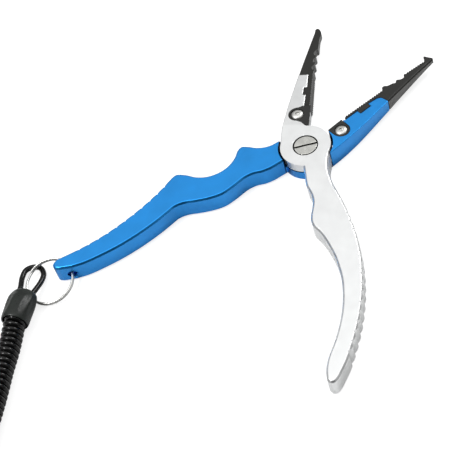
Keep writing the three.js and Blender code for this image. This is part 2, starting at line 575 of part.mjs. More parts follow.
group.add(mesh('blue_frame', fixedFrame(), material(...BLUE)));
group.add(mesh('blue_jaw_insert', fixedInsert(), material(...BLACK_STEEL)));
group.add(mesh('blue_insert_screw', insertScrew(FIXED_INSERT_SCREW), material(...STAINLESS)));
group.add(mesh('blue_cutter_blade', cutterBlade(FIXED_CUTTER), material(...BLACK_STEEL)));
group.add(mesh('blue_cutter_screw', buttonScrew(FIXED_CUTTER.screw, 1.8, CUTTER_SEAT),
  material(...STAINLESS)));
group.add(mesh('pivot_nut', barrelNut(), material(...STAINLESS)));
group.add(mesh('pivot_screw', pivotScrew(), material(...STAINLESS)));
group.add(mesh('lap_washer', lapWasher(), material(...BRONZE)));
moving.add(mesh('silver_frame', movingFrame(), material(...SILVER)));
moving.add(mesh('silver_jaw_insert', movingInsert(), material(...BLACK_STEEL)));
moving.add(mesh('silver_insert_screw', insertScrew(MOVING_INSERT_SCREW), material(...STAINLESS)));
moving.add(mesh('silver_cutter_blade', cutterBlade(MOVING_CUTTER), material(...BLACK_STEEL)));
moving.add(mesh('silver_cutter_screw', buttonScrew(MOVING_CUTTER.screw, 1.8, CUTTER_SEAT),
  material(...STAINLESS)));
group.add(mesh('split_ring', splitRing(), material(...STAINLESS)));

group.add(mesh('lanyard_near_loop', tube(NEAR_LOOP, CORD_R, 10, 48), material(...BLACK_PLASTIC)));
group.add(mesh('lanyard_near_sleeve', nearSleeve(), material(...BLACK_PLASTIC)));
group.add(mesh('lanyard_coil', tube(COIL_PATH, COIL_R, 12, 36), material(...BLACK_PLASTIC)));

// The far end is modelled along +X, then turned to follow the end of the coil.
const farEnd = new THREE.Group();
farEnd.position.set(...FAR_SLEEVE_END);
farEnd.rotation.z = THREE.MathUtils.degToRad(FAR_END_ANGLE);
group.add(farEnd);
farEnd.add(mesh('lanyard_far_sleeve', farSleeve(), material(...BLACK_PLASTIC)));
farEnd.add(mesh('lanyard_far_loop', tube(FAR_LOOP, CORD_R, 10, 40), material(...BLACK_PLASTIC)));
farEnd.add(mesh('hook_swivel_eye', swivelEye(), material(...STAINLESS)));
farEnd.add(mesh('hook_body', snapHook(), material(...STAINLESS)));
farEnd.add(mesh('hook_gate', hookGate(), material(...STAINLESS)));
farEnd.add(mesh('hook_gate_pin', pin(0.65, HOOK_LEVEL - 2.1, HOOK_LEVEL + 2.1, ...GATE_PIN, 20),
  material(...STAINLESS)));
farEnd.add(mesh('hook_gate_spring', gateSpring(), material(...STAINLESS)));

export default group;
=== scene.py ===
"""Fishing pliers with a split ring and a coiled lanyard: detailed pieces, materials, light and camera."""
import math

import bmesh
import bpy
from mathutils import Matrix, Vector


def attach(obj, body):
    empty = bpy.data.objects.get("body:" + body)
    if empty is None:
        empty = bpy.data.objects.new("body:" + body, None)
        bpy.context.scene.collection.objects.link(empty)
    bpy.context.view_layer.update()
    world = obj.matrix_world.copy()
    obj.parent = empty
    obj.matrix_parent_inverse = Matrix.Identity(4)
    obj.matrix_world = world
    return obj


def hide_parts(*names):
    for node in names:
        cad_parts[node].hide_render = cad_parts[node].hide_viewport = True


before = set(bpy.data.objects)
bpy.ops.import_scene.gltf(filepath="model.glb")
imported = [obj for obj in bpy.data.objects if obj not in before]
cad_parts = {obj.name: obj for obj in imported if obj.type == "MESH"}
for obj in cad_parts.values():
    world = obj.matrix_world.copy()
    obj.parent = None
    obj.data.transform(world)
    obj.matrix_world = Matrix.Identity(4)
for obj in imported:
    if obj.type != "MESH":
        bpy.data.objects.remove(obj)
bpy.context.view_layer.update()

MM = 0.001
THICKNESS = 9.5
OPEN_ANGLE = math.radians(43.3)
TAPER_START = 12
TAPER_SLOPE = 0.0585
SCENE = bpy.context.scene

# ---------------------------------------------------------------- camera
CAMERA_ELEVATION = 51.403
CAMERA_AZIMUTH = 24.3
CAMERA_ROLL = 19.077
CAMERA_LENS = 114.76
CAMERA_PLACE = (-0.21233, -0.36975, 0.49834)


def make_camera():
    data = bpy.data.cameras.new("camera")
    data.sensor_width = 36
    data.lens = CAMERA_LENS
    data.clip_start = 0.01
    camera = bpy.data.objects.new("camera", data)
    SCENE.collection.objects.link(camera)
    turn = (
        Matrix.Rotation(-math.radians(CAMERA_AZIMUTH), 4, "Z")
        @ Matrix.Rotation(math.radians(90 - CAMERA_ELEVATION), 4, "X")
        @ Matrix.Rotation(-math.radians(CAMERA_ROLL), 4, "Z")
    )
    camera.matrix_world = Matrix.Translation(CAMERA_PLACE) @ turn
    SCENE.camera = camera


make_camera()


# ---------------------------------------------------------------- shape helpers
def spline(points, per_span=8):
    """Centripetal Catmull-Rom through 2-D or 3-D points, as a list of tuples."""
    known = [Vector(tuple(p) + (0,) * (3 - len(p))) for p in points]
    known = [2 * known[0] - known[1]] + known + [2 * known[-1] - known[-2]]
    found = []
    for a, b, c, d in zip(known, known[1:], known[2:], known[3:]):
        ta = math.sqrt(max((b - a).length, 1e-6))
        tb = math.sqrt(max((c - b).length, 1e-6))
        tc = math.sqrt(max((d - c).length, 1e-6))
        m1 = (b - a) / ta - (c - a) / (ta + tb) + (c - b) / tb
        m2 = (c - b) / tb - (d - b) / (tb + tc) + (d - c) / tc
        m1, m2 = m1 * tb, m2 * tb
        for i in range(per_span):
            t = i / per_span
            found.append(
                b * (2 * t**3 - 3 * t**2 + 1)
                + m1 * (t**3 - 2 * t**2 + t)
                + c * (3 * t**2 - 2 * t**3)
                + m2 * (t**3 - t**2)
            )
    found.append(known[-2])
    size = len(points[0])
    return [tuple(p)[:size] for p in found]


def arc(x, y, radius, start, stop, steps):
    angles = [math.radians(start + (stop - start) * i / steps) for i in range(steps + 1)]
    return [(x + radius * math.cos(a), y + radius * math.sin(a)) for a in angles]


def spaced(points, gap, closed=True):
    """The same outline with points no further apart than gap."""
    found = []
    ends = list(zip(points, points[1:] + points[:1])) if closed else list(zip(points, points[1:]))
    for a, b in ends:
        n = max(1, math.ceil(math.dist(a, b) / gap))
        found += [tuple(p + (q - p) * i / n for p, q in zip(a, b)) for i in range(n)]
    return found if closed else found + [points[-1]]


def area(points):
    return sum(a[0] * b[1] - b[0] * a[1] for a, b in zip(points, points[1:] + points[:1])) / 2


def clean(points, least=0.03):
    found = []
    for p in points:
        if not found or math.dist(p, found[-1]) > least:
            found.append(p)
    if math.dist(found[0], found[-1]) <= least:
        found.pop()
    return found


def inset(points, gap):
    """A counter-clockwise outline moved inwards, with mitred corners."""
    found = []
    for a, p, b in zip(points[-1:] + points[:-1], points, points[1:] + points[:1]):
        u = (Vector(p) - Vector(a)).normalized()
        v = (Vector(b) - Vector(p)).normalized()
        n = Vector((-u.y, u.x))
        mitre = (n + Vector((-v.y, v.x))).normalized()
        step = gap / max(0.5, mitre.dot(n))
        found.append((p[0] + mitre.x * step, p[1] + mitre.y * step))
    return found


def new_object(name, bm):
    """A linked object from a bmesh in millimetres; its mesh is in metres."""
    bmesh.ops.recalc_face_normals(bm, faces=bm.faces)
    bmesh.ops.scale(bm, vec=(MM, MM, MM), verts=bm.verts)
    data = bpy.data.meshes.new(name)
    bm.to_mesh(data)
    bm.free()
    obj = bpy.data.objects.new(name, data)
    SCENE.collection.objects.link(obj)
    return obj


def rings_to_bmesh(rings, capped=True):
    """Skins a stack of closed rings with the same number of points."""
    bm = bmesh.new()
    rows = [[bm.verts.new(p) for p in ring] for ring in rings]
    for low, high in zip(rows, rows[1:]):
        for i in range(len(low)):
            k = (i + 1) % len(low)
            bm.faces.new((low[i], low[k], high[k], high[i]))
    if capped:
        bm.faces.new(list(reversed(rows[0])))
        bm.faces.new(rows[-1])
    return bm


def edge_profile(low, high, chamfer, upper, lower):
    """Inset and height pairs up the side of a plate: a 45-degree chamfer whose two creases are rounded."""
    if not chamfer:
        return [(0, low), (0, high)]
    half = math.tan(math.radians(22.5))
    rise = []
    for i in range(6):
        a = math.radians(9 * i)
        rise.append((chamfer + upper * (half - math.sin(a)), low + upper * (1 - math.cos(a))))
    for i in range(5, 11):
        a = math.radians(9 * i)
        rise.append((lower * (1 - math.sin(a)), low + chamfer + lower * (half - math.cos(a))))
    return rise + [(i, low + high - z) for i, z in reversed(rise)]


def plate(name, outline, low, high, chamfer=0.0, upper=0.7, lower=0.12):
    points = clean(outline)
    if area(points) < 0:
        points.reverse()
    rings = []
    for gap, z in edge_profile(low, high, chamfer, upper, lower):
        rings.append([(x, y, z) for x, y in (inset(points, gap) if gap > 1e-6 else points)])
    return new_object(name, rings_to_bmesh(rings))


def turned(name, profile, x=0, y=0, segments=64, start=0.0):
    """A solid of revolution about a vertical line; the profile is radius and height pairs from axis to axis."""
    bm = bmesh.new()
    rows = []
    for r, z in profile:
        if r < 1e-6:
            rows.append([bm.verts.new((x, y, z))])
            continue
        row = []
        for i in range(segments):
            a = start + 2 * math.pi * i / segments
            row.append(bm.verts.new((x + r * math.cos(a), y + r * math.sin(a), z)))
        rows.append(row)
    closed = len(rows[0]) > 1
    pairs = list(zip(rows, rows[1:])) + ([(rows[-1], rows[0])] if closed else [])
    for low, high in pairs:
        for i in range(segments):
            k = (i + 1) % segments
            if len(low) == 1 and len(high) == 1:
                continue
            if len(low) == 1:
                bm.faces.new((low[0], high[k], high[i]))
            elif len(high) == 1:
                bm.faces.new((low[i], low[k], high[0]))
            else:
                bm.faces.new((low[i], low[k], high[k], high[i]))
    return new_object(name, bm)


def pin(radius, low, high, x=0, y=0, segments=64, start=0.0):
    return turned("tool", [(0, low), (radius, low), (radius, high), (0, high)], x, y, segments, start)


def block(low, high):
    bm = bmesh.new()
    bmesh.ops.create_cube(bm, size=1)
    bmesh.ops.scale(bm, vec=[b - a for a, b in zip(low, high)], verts=bm.verts)
    bmesh.ops.translate(bm, vec=[(a + b) / 2 for a, b in zip(low, high)], verts=bm.verts)
    return new_object("tool", bm)


def prism_x(profile, start, stop):
    """A profile in Y and Z, extruded along X."""
    bm = rings_to_bmesh([[(x, y, z) for y, z in profile] for x in (start, stop)])
    return new_object("tool", bm)


def apply(obj, modifier):
    with bpy.context.temp_override(object=obj, active_object=obj, selected_objects=[obj]):
        bpy.ops.object.modifier_apply(modifier=modifier.name)


def combine(obj, operation, *tools):
    for tool in tools:
        modifier = obj.modifiers.new("combine", "BOOLEAN")
        modifier.operation = operation
        modifier.object = tool
        modifier.solver = "EXACT"
        apply(obj, modifier)
        bpy.data.objects.remove(tool)
    return obj


def cut(obj, *tools):
    return combine(obj, "DIFFERENCE", *tools)


def join(obj, *tools):
    return combine(obj, "UNION", *tools)


def move(obj, matrix):
    obj.data.transform(matrix)
    return obj


def shade(obj, angle=28):
    """Smooth faces with sharp edges where the surface turns by more than the angle."""
    data = obj.data
    data.validate()
    data.shade_smooth()
    data.set_sharp_from_angle(angle=math.radians(angle))
    level = obj.modifiers.new("level", "WEIGHTED_NORMAL")
    level.mode = "FACE_AREA"
    level.weight = 100
    level.keep_sharp = True
    apply(obj, level)
    return obj


def soften(obj, width, segments=2, angle=35):
    """Rounds the sharp edges a little, as a deburred part has."""
    weld = obj.modifiers.new("weld", "WELD")
    weld.merge_threshold = 0.004 * MM
    apply(obj, weld)
    modifier = obj.modifiers.new("bevel", "BEVEL")
    modifier.width = width * MM
    modifier.segments = segments
    modifier.limit_method = "ANGLE"
    modifier.angle_limit = math.radians(angle)
    modifier.use_clamp_overlap = True
    modifier.harden_normals = False
    apply(obj, modifier)
    return obj


def tube(name, points, radius, sides=16, caps=True):
    """A round tube along 3-D points, as a mesh, with its frame carried along the line."""
    line = [Vector(p) for p in points]
    rings = []
    normal = None
    for i, p in enumerate(line):
        along = (line[min(i + 1, len(line) - 1)] - line[max(i - 1, 0)]).normalized()
        if normal is None:
            normal = along.orthogonal().normalized()
        normal = (normal - along * normal.dot(along)).normalized()
        other = along.cross(normal)
        size = radius(i / (len(line) - 1)) if callable(radius) else radius
        ring = []
        for k in range(sides):
            a = 2 * math.pi * k / sides
            ring.append(tuple(p + size * (math.cos(a) * normal + math.sin(a) * other)))
        rings.append(ring)
    return new_object(name, rings_to_bmesh(rings, caps))


def curve_cord(name, points, radius, resolution=4):
    """A cord as a curve of one open spline; the points are in millimetres."""
    data = bpy.data.curves.new(name, "CURVE")
    data.dimensions = "3D"
    data.bevel_depth = radius * MM
    data.bevel_resolution = resolution
    data.use_fill_caps = True
    line = data.splines.new("POLY")
    line.points.add(len(points) - 1)
    for point, place in zip(line.points, points):
        point.co = (*(c * MM for c in place), 1)
    line.use_smooth = True
    obj = bpy.data.objects.new(name, data)
    SCENE.collection.objects.link(obj)
    return obj


def aim(origin, direction, up=(0, 0, 1)):
    """The matrix that takes +Z to the direction and the origin to a point in millimetres."""
    axis = Vector(direction).normalized()
    side = Vector(up).cross(axis).normalized()
    top = axis.cross(side)
    turn = Matrix((side, top, axis)).transposed().to_4x4()
    return Matrix.Translation(Vector(origin) * MM) @ turn


def length_of(points):
    return sum(math.dist(a, b) for a, b in zip(points, points[1:]))


def give(obj, material, body, slot, *nodes):
    """Material, body, record slot (not used) and the CAD nodes that a piece stands for."""
    obj.data.materials.clear()
    obj.data.materials.append(material)
    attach(obj, body)
    if nodes:
        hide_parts(*nodes)
    return obj


# ---------------------------------------------------------------- materials
class Nodes:
    """A short way to write a node material."""

    def __init__(self, name):
        self.material = bpy.data.materials.new(name)
        self.material.use_nodes = True
        self.tree = self.material.node_tree
        self.shader = self.tree.nodes["Principled BSDF"]
        self.place = self.add("ShaderNodeTexCoord").outputs["Object"]

    def add(self, kind, **values):
        node = self.tree.nodes.new(kind)
        for key, value in values.items():
            if hasattr(node, key):
                setattr(node, key, value)
            else:
                node.inputs[key.replace("_", " ")].default_value = value
        return node

    def link(self, a, b):
        self.tree.links.new(a, b)

    def set(self, **values):
        for key, value in values.items():
            self.shader.inputs[key.replace("_", " ")].default_value = value

    def noise(self, scale, detail=3.0, stretch=(1, 1, 1), rough=0.5):
        mapping = self.add("ShaderNodeMapping")
        mapping.inputs["Scale"].default_value = stretch
        self.link(self.place, mapping.inputs["Vector"])
        node = self.add("ShaderNodeTexNoise")
        node.inputs["Scale"].default_value = scale
        node.inputs["Detail"].default_value = detail
        node.inputs["Roughness"].default_value = rough
        self.link(mapping.outputs["Vector"], node.inputs["Vector"])
        return node.outputs["Fac"]

    def ramp(self, source, stops):
        node = self.add("ShaderNodeValToRGB")
        ramp = node.color_ramp
        while len(ramp.elements) < len(stops):
            ramp.elements.new(0.5)
        for element, (at, colour) in zip(ramp.elements, stops):
            element.position = at
            element.color = (*colour, 1)
        self.link(source, node.inputs["Fac"])
        return node.outputs["Color"]

    def spread(self, source, low, high):
        node = self.add("ShaderNodeMapRange")
        node.inputs["From Min"].default_value = 0.3
        node.inputs["From Max"].default_value = 0.7
        node.inputs["To Min"].default_value = low
        node.inputs["To Max"].default_value = high
        self.link(source, node.inputs["Value"])
        return node.outputs["Result"]

    def rings(self, scale):
        """Fine uneven rings about the pivot axis."""
        flat = self.add("ShaderNodeVectorMath", operation="MULTIPLY")
        self.link(self.place, flat.inputs[0])
        flat.inputs[1].default_value = (1, 1, 0)
        size = self.add("ShaderNodeVectorMath", operation="LENGTH")
        self.link(flat.outputs["Vector"], size.inputs[0])
        node = self.add("ShaderNodeTexNoise", noise_dimensions="1D")
        node.inputs["Scale"].default_value = scale
        node.inputs["Detail"].default_value = 1.5
        self.link(size.outputs["Value"], node.inputs["W"])
        return node.outputs["Fac"]

    def bump(self, *layers):
        last = None
        for source, strength, depth in layers:
            node = self.add("ShaderNodeBump")
            node.inputs["Strength"].default_value = strength
            node.inputs["Distance"].default_value = depth * MM
            self.link(source, node.inputs["Height"])
            if last:
                self.link(last, node.inputs["Normal"])
            last = node.outputs["Normal"]
        self.link(last, self.shader.inputs["Normal"])


def shaded(colour, by):
    return tuple(max(0.0, min(1.0, c * by)) for c in colour)


def metal(name, colour, rough, grain_depth=0.004, variation=0.06, metallic=1.0, milled=0.0, turned_marks=0.0,
        **more):
    """Metal with fine grain, patchy roughness, a little variation in colour and its machining marks."""
    m = Nodes(name)
    patches = m.noise(90, 4)
    m.link(
        m.ramp(patches, [(0.3, shaded(colour, 1 - variation)), (0.7, shaded(colour, 1 + variation))]),
        m.shader.inputs["Base Color"],
    )
    m.link(m.spread(m.noise(260, 5), rough * 0.88, rough * 1.14), m.shader.inputs["Roughness"])
    layers = [(m.noise(5200, 2), 0.5, grain_depth), (m.noise(420, 3), 0.25, 0.01)]
    if milled:
        layers.append((m.noise(1500, 2, (1, 1, 0.03)), 0.5, milled))
    if turned_marks:
        layers.append((m.rings(5500), 0.5, turned_marks))
    m.bump(*layers)
    m.set(Metallic=metallic, **more)
    return m.material


def turned_head(name, colour, rough):
    """A machined face that shows its fine concentric grooves and the fan of light they throw."""
    m = Nodes(name)
    grooves = m.rings(4200)
    m.link(
        m.ramp(grooves, [(0.2, shaded(colour, 0.86)), (0.8, shaded(colour, 1.08))]),
        m.shader.inputs["Base Color"],
    )
    m.link(m.spread(m.noise(500, 4), rough * 0.85, rough * 1.2), m.shader.inputs["Roughness"])
    m.bump((grooves, 0.6, 0.006), (m.noise(900, 3), 0.2, 0.006))
    tangent = m.add("ShaderNodeTangent", direction_type="RADIAL", axis="Z")
    m.link(tangent.outputs["Tangent"], m.shader.inputs["Tangent"])
    m.set(Metallic=1.0, Anisotropic=0.7)
    return m.material


def plastic(name, colour, rough, shine):
    m = Nodes(name)
    m.link(
        m.ramp(m.noise(220, 4), [(0.3, shaded(colour, 0.75)), (0.75, shaded(colour, 1.3))]),
        m.shader.inputs["Base Color"],
    )
    m.link(m.spread(m.noise(380, 5), rough * 0.8, rough * 1.35), m.shader.inputs["Roughness"])
    m.bump((m.noise(700, 4), 0.3, 0.02), (m.noise(2600, 2), 0.25, 0.006))
    m.set(IOR=1.5, Specular_IOR_Level=shine)
    return m.material


BLUE = metal(
    "blue anodised", (0.018, 0.29, 0.77), 0.33, milled=0.004, Coat_Weight=0.35, Coat_Roughness=0.25
)
SILVER = metal(
    "silver anodised", (0.86, 0.87, 0.87), 0.34, variation=0.03, milled=0.003, turned_marks=0.0025
)
INSERT = metal("blackened insert", (0.012, 0.012, 0.010), 0.36, variation=0.25, metallic=0.0, IOR=1.42)
# Painted sheen: a lighter copy of the insert's black for its upright sides, standing in for the glint they
# reflect.
INSERT_SIDE_PAINTED_SHEEN = metal(
    "painted sheen on the insert's upright sides", (0.15, 0.15, 0.145), 0.4, variation=0.3, metallic=0.0, milled=0.012
)
BLADE = metal(
    "blackened blade", (0.013, 0.013, 0.012), 0.34, variation=0.25, metallic=0.0, milled=0.004, IOR=1.42
)
STEEL = metal("stainless steel", (0.78, 0.78, 0.75), 0.22, variation=0.05)
SCREW = metal("screw steel", (0.60, 0.60, 0.58), 0.38, variation=0.06, turned_marks=0.001)
PIVOT = turned_head("pivot steel", (0.60, 0.60, 0.57), 0.28)
WIRE = metal("ring wire", (0.72, 0.72, 0.70), 0.3, grain_depth=0.001, variation=0.05)
NICKEL = metal("nickel plate", (0.72, 0.71, 0.68), 0.2, variation=0.04)
BRONZE = metal("bronze", (0.52, 0.36, 0.17), 0.4, variation=0.1)
# Painted shade: a near-black material laid on the pivot screw's slot and head side, the seat ring round the
# head and the faces round the cutter screws, where shade falls.
RECESS_PAINTED_SHADE = metal("painted shade in recesses", (0.012, 0.012, 0.012), 0.5, variation=0.4, metallic=0.0)
# Painted shade: a darker blue for the lap floor and recess wall beside the boss, where shade falls.
LAP_PAINTED_SHADE = metal("painted shade in the blue lap", (0.004, 0.03, 0.10), 0.5, variation=0.2)
CORD = plastic("cord", (0.004, 0.004, 0.004), 0.14, 0.3)
MOULDED = plastic("moulded sleeve", (0.016, 0.019, 0.017), 0.3, 0.28)

# ---------------------------------------------------------------- lanyard, first of the pieces
CORD_R = 1.2
COIL_R = 4.85
COIL_PITCH = 2.46
COIL_POINTS = 20
NEAR_LOOP = [
    (-134.2, 35.4, 4.8), (-130.7, 39, 3.8), (-127.1, 43.5, 2.8), (-123.6, 45.9, 2.2),
    (-120.3, 45.3, 1.6), (-118.3, 42.7, 1.35), (-119.2, 38.9, 1.45), (-122.3, 35.8, 2.3),
    (-126.9, 33, 3.6), (-130.6, 31, 4.7), (-134.4, 28.6, 5.6),
]
SLEEVE_START = (-131, 33.45, 6.1)
SLEEVE_RUN = (-0.79, -0.61, 0)
COIL_PATH = [
    (-140.5, 26.13, 6.1), (-144, 23.2, 5.9), (-147.9, 19.6, 5.3), (-152.5, 15.35, 4.95),
    (-159.9, 9.05, 4.9), (-166.8, 2.65, 4.9), (-172, -2.05, 4.9), (-177.9, -7.15, 4.9),
    (-191, -18.5, 4.9), (-203.5, -31, 4.9), (-213.5, -44.5, 4.9), (-219.6, -58, 4.95),
    (-222.4, -70.5, 5.7), (-222.5, -77, 6.1),
]
FAR_END = (-222.5, -90.3, 0)
FAR_LOOP = [
    (-3, 0, 7.6), (0, 0, 7.4), (4, 0, 7), (7, 0, 6.55), (9.6, 0, 6), (11.1, 0, 3.9), (9.6, 0, 1.9),
    (6.5, 0, 1.35), (3.4, 0, 2.2), (0, 0, 4), (-3, 0, 4.8),
]
FAR_TURN = Matrix.Translation(Vector(FAR_END) * MM) @ Matrix.Rotation(-math.pi / 2, 4, "Z")


def far_point(p):
    """A point of the far end, whose own +X runs away from the coil, in the row frame."""
    return (FAR_END[0] + p[1], FAR_END[1] - p[0], FAR_END[2] + p[2])


def even(points, gap):
    """Points evenly spaced along a line."""
    total = length_of(points)
    n = max(2, round(total / gap))
    found, run, k = [], 0.0, 0
    for i in range(n + 1):
        want = total * i / n
        while k < len(points) - 2 and run + math.dist(points[k], points[k + 1]) < want:
            run += math.dist(points[k], points[k + 1])
            k += 1
        step = math.dist(points[k], points[k + 1])
        t = (want - run) / step if step else 0
        found.append(tuple(a + (b - a) * min(t, 1) for a, b in zip(points[k], points[k + 1])))
    return found


def coil_points():
    """The curly cord: a helix about the coil's path."""
    path = even(spline(COIL_PATH, 30), COIL_PITCH / COIL_POINTS)
    found = []
    radius = COIL_R - CORD_R
    last = len(path) - 1
    for i, p in enumerate(path):
        along = (Vector(path[min(i + 1, last)]) - Vector(path[max(i - 1, 0)])).normalized()
        side = Vector((0, 0, 1)).cross(along).normalized()
        top = along.cross(side)
        a = 2 * math.pi * i / COIL_POINTS
        found.append(tuple(Vector(p) + radius * (-math.cos(a) * side + math.sin(a) * top)))
    return found


def make_lanyard():
    near = spline(NEAR_LOOP, 6)
    coil = coil_points()
    far = [far_point(p) for p in spline(FAR_LOOP, 6)]
    near_loop = curve_cord("lanyard_near_loop_cord", near, CORD_R, 6)
    coiled = curve_cord("lanyard_coil_cord", coil, CORD_R, 4)
    far_loop = curve_cord("lanyard_far_loop_cord", far, CORD_R, 6)
    give(near_loop, CORD, "lanyard", "black_plastic", "lanyard_near_loop")
    give(coiled, CORD, "lanyard", "black_plastic", "lanyard_coil")
    give(far_loop, CORD, "lanyard", "black_plastic", "lanyard_far_loop")
    return (near_loop, near), (coiled, coil), (far_loop, far)


near_loop, coiled, far_loop = make_lanyard()

# Distance along a sleeve from its cord end, with its half width and half height there. The mouth is radius and
# depth pairs.
SLEEVE_SIDE = [
    (0, 3.4, 2.3), (0.15, 4, 2.9), (0.8, 5, 3.4), (2, 5.9, 3.7), (4, 6.5, 4.5), (7, 6.6, 5.3),
    (10.8, 6.3, 5.8), (15, 6, 5.9), (15.6, 5.8, 5.7),
]
SLEEVE_FLUTES = 10
SLEEVE_SIDES = 72
SLEEVE_MOUTH = [(5.35, 0), (5.2, 0.25), (5.15, 4.2)]


def sleeve(name, matrix):
    """A moulded sleeve with shallow flutes and an open mouth."""
    stations = spline(SLEEVE_SIDE, 5)
    length = stations[-1][0]
    rings = []
    for z, w, h in stations:
        depth = 0.3 * math.sin(math.pi * min(1, max(0, (z - 1) / 12.5)))
        ring = []
        for k in range(SLEEVE_SIDES):
            a = 2 * math.pi * k / SLEEVE_SIDES
            wave = 1 - depth / 6 * (0.5 - 0.5 * math.cos(SLEEVE_FLUTES * a))
            ring.append((w * wave * math.cos(a), h * wave * math.sin(a), z))
        rings.append(ring)
    for r, depth in SLEEVE_MOUTH:
        rings.append([(*p, length - depth) for p in arc(0, 0, r, 0, 360, SLEEVE_SIDES)[:-1]])
    obj = new_object(name, rings_to_bmesh(rings))
    return shade(move(obj, matrix), 50)


near_sleeve = sleeve("lanyard_near_sleeve_shell", aim(SLEEVE_START, SLEEVE_RUN))
far_sleeve = sleeve("lanyard_far_sleeve_shell", FAR_TURN @ aim((0, 0, 6.1), (-1, 0, 0)))
give(near_sleeve, MOULDED, "lanyard", "black_plastic", "lanyard_near_sleeve")
give(far_sleeve, MOULDED, "lanyard", "black_plastic", "lanyard_far_sleeve")

# ---------------------------------------------------------------- outlines, each half in its own closed frame
FIXED_HANDLE_OUTER = [
    (-6.1, 11.35), (-9.8, 12.2), (-12.6, 13.8), (-15, 16.2), (-16.95, 19.3), (-19.1, 21.5), (-21.55, 21.1),
    (-24.95, 19), (-29.8, 17.6), (-34.6, 17.9), (-39.65, 20.1), (-43.1, 23.6), (-45.6, 28.3), (-48.5, 31.5),
    (-52.4, 31.3), (-56.1, 30.5), (-60.6, 29.8), (-69.8, 28.95), (-79.15, 28.85), (-88.1, 29.35),
    (-97.3, 30.75), (-103.6, 32.2), (-110.2, 34.1),
]
FIXED_HANDLE_END = [
    (-112.5, 34.8), (-115, 33.8), (-115.75, 31.4), (-114.45, 29.4),
]
FIXED_HANDLE_INNER = [
    (-110, 26.1), (-105.15, 23.7), (-100.1, 22), (-90.1, 19.45), (-80.05, 17.95), (-70, 17.4),
    (-63.95, 17.55), (-59.8, 17.6), (-56, 16.15), (-51.4, 12.7), (-46.65, 9.5), (-41.6, 7.25), (-36, 6.7),
    (-29.1, 6.6), (-25.3, 5.5), (-21.7, 3.3), (-18.1, 2), (-14.05, 1.3), (-11.2, 0.8),
]
FIXED_RIDGES = [
    (-56.4, 30.5), (-60.6, 29.8), (-69.8, 28.95), (-79.15, 28.85), (-88.1, 29.35), (-97.3, 30.75),
    (-103.6, 32.2),
]
FIXED_JAW_OUTER = [
    (0, -11.1), (5, -11.45), (10, -11.4), (15, -11.15), (20, -10.8), (25, -10.2), (30, -9.5), (35, -8.75),
    (41.25, -7.85),
]
FIXED_JAW_NOSE = [
    (41.5, -6.7), (41.25, -5.3), (40.7, -3.7), (39.2, -2.8),
]
MOVING_HANDLE_OUTER = [
    (0.5, -11), (-4.4, -11), (-8, -10.7), (-10.4, -10.7), (-13, -11.2), (-16.7, -12.3), (-20.9, -13.85),
    (-25.1, -16.15), (-29.6, -18.5), (-36.5, -21.8), (-45.8, -25.4), (-55.05, -28.1), (-65.05, -29.95),
    (-75.85, -30.9), (-85.9, -30.75), (-94.75, -29.85), (-103.95, -28.25), (-108.9, -27.05),
]
MOVING_HANDLE_END = [
    (-112.3, -25.9), (-115.8, -24.6), (-118, -23), (-118.2, -21.2), (-117, -19.9),
]
MOVING_HANDLE_INNER = [
    (-113.8, -19.2), (-110.5, -19.1), (-106.8, -19.5), (-99.1, -21.35), (-89.95, -22.7), (-80.6, -22.9),
    (-70.15, -21.6), (-62.3, -19.2), (-57.85, -17.4), (-49.6, -12.8), (-46.1, -10.2), (-43.4, -7.7),
    (-40.6, -6.35), (-37.4, -5.95), (-33.95, -6.15), (-30.7, -6.1), (-27.6, -5.4), (-24.4, -3.95),
    (-21.45, -2.4), (-16.7, -1.3), (-11.6, -0.2),
]
MOVING_RIDGES = [
    (-36.5, -21.8), (-45.8, -25.4), (-55.05, -28.1), (-65.05, -29.95), (-75.85, -30.9), (-85.9, -30.75),
    (-94.75, -29.85), (-103.95, -28.25), (-108.9, -27.05),
]
MOVING_JAW_OUTER = [
    (0, 11.1), (5, 11.4), (10, 11.45), (15, 11.1), (20, 10.65), (25, 10.1), (30, 9.45), (35, 8.75), (40, 8),
    (42.8, 7.6),
]
FIXED_CUTTER = {
    "screw": (16.2, -5.2), "edge": [(12.4, -0.8), (20.2, -0.8)], "shoulder": [(20, -3.4)], "lobe": (0, -180),
    "foot": [(12.4, -3)], "metal": -1,
}
MOVING_CUTTER = {
    "screw": (18.3, 5.5), "edge": [(23.2, -0.1), (11.4, -0.35)], "shoulder": [(11.6, 1.2), (13.6, 3.1)],
    "lobe": (180, 0), "foot": [(23.2, 3)], "metal": 1,
}
FIXED_INSERT_SCREW = (31.6, -6.1)
MOVING_INSERT_SCREW = (37.4, 5)
LOBE_R = 3.7
BOSS_R = 11.1
RECESS_R = 12.1
LAP_LOW_TOP = 4.4
LAP_HIGH_FLOOR = 5.1
BARREL_BORE_R = 4.06
NUT_SEAT_R = 5.4
HEAD_SEAT_R = 5.6
HEAD_SEAT_FLOOR = 6.85
RING_HOLE = (-110.1, 30.1, 4.7)
RING_HOLE_RUN = (0.231, 0.967, 0.103)
BUTTON_SEAT_R = 3.05
CUTTER_FLOOR = 6.0
CUTTER_TOP = 9.1
CUTTER_SEAT = 8.4
RIDGE_PITCH = 4.62
RIDGE_DEPTH = 1.15


def cutter_outline(cutter):
    x, y = cutter["screw"]
    return cutter["edge"] + cutter["shoulder"] + arc(x, y, LOBE_R, *cutter["lobe"], 40) + cutter["foot"]


def grown(points, gap):
    points = clean(points)
    if area(points) < 0:
        points = points[::-1]
    return inset(points, -gap)


def taper(obj):
    """Thins a jaw evenly towards its tip, on both faces."""
    bm = bmesh.new()
    bm.from_mesh(obj.data)
    start = TAPER_START * MM
    geom = bm.verts[:] + bm.edges[:] + bm.faces[:]
    bmesh.ops.bisect_plane(bm, geom=geom, plane_co=(start, 0, 0), plane_no=(1, 0, 0))
    middle = THICKNESS / 2 * MM
    for vert in bm.verts:
        past = max(0, vert.co.x - start)
        vert.co.z = middle + (vert.co.z - middle) * (1 - 2 * TAPER_SLOPE * past / (THICKNESS * MM))
    bm.to_mesh(obj.data)
    bm.free()
    return obj


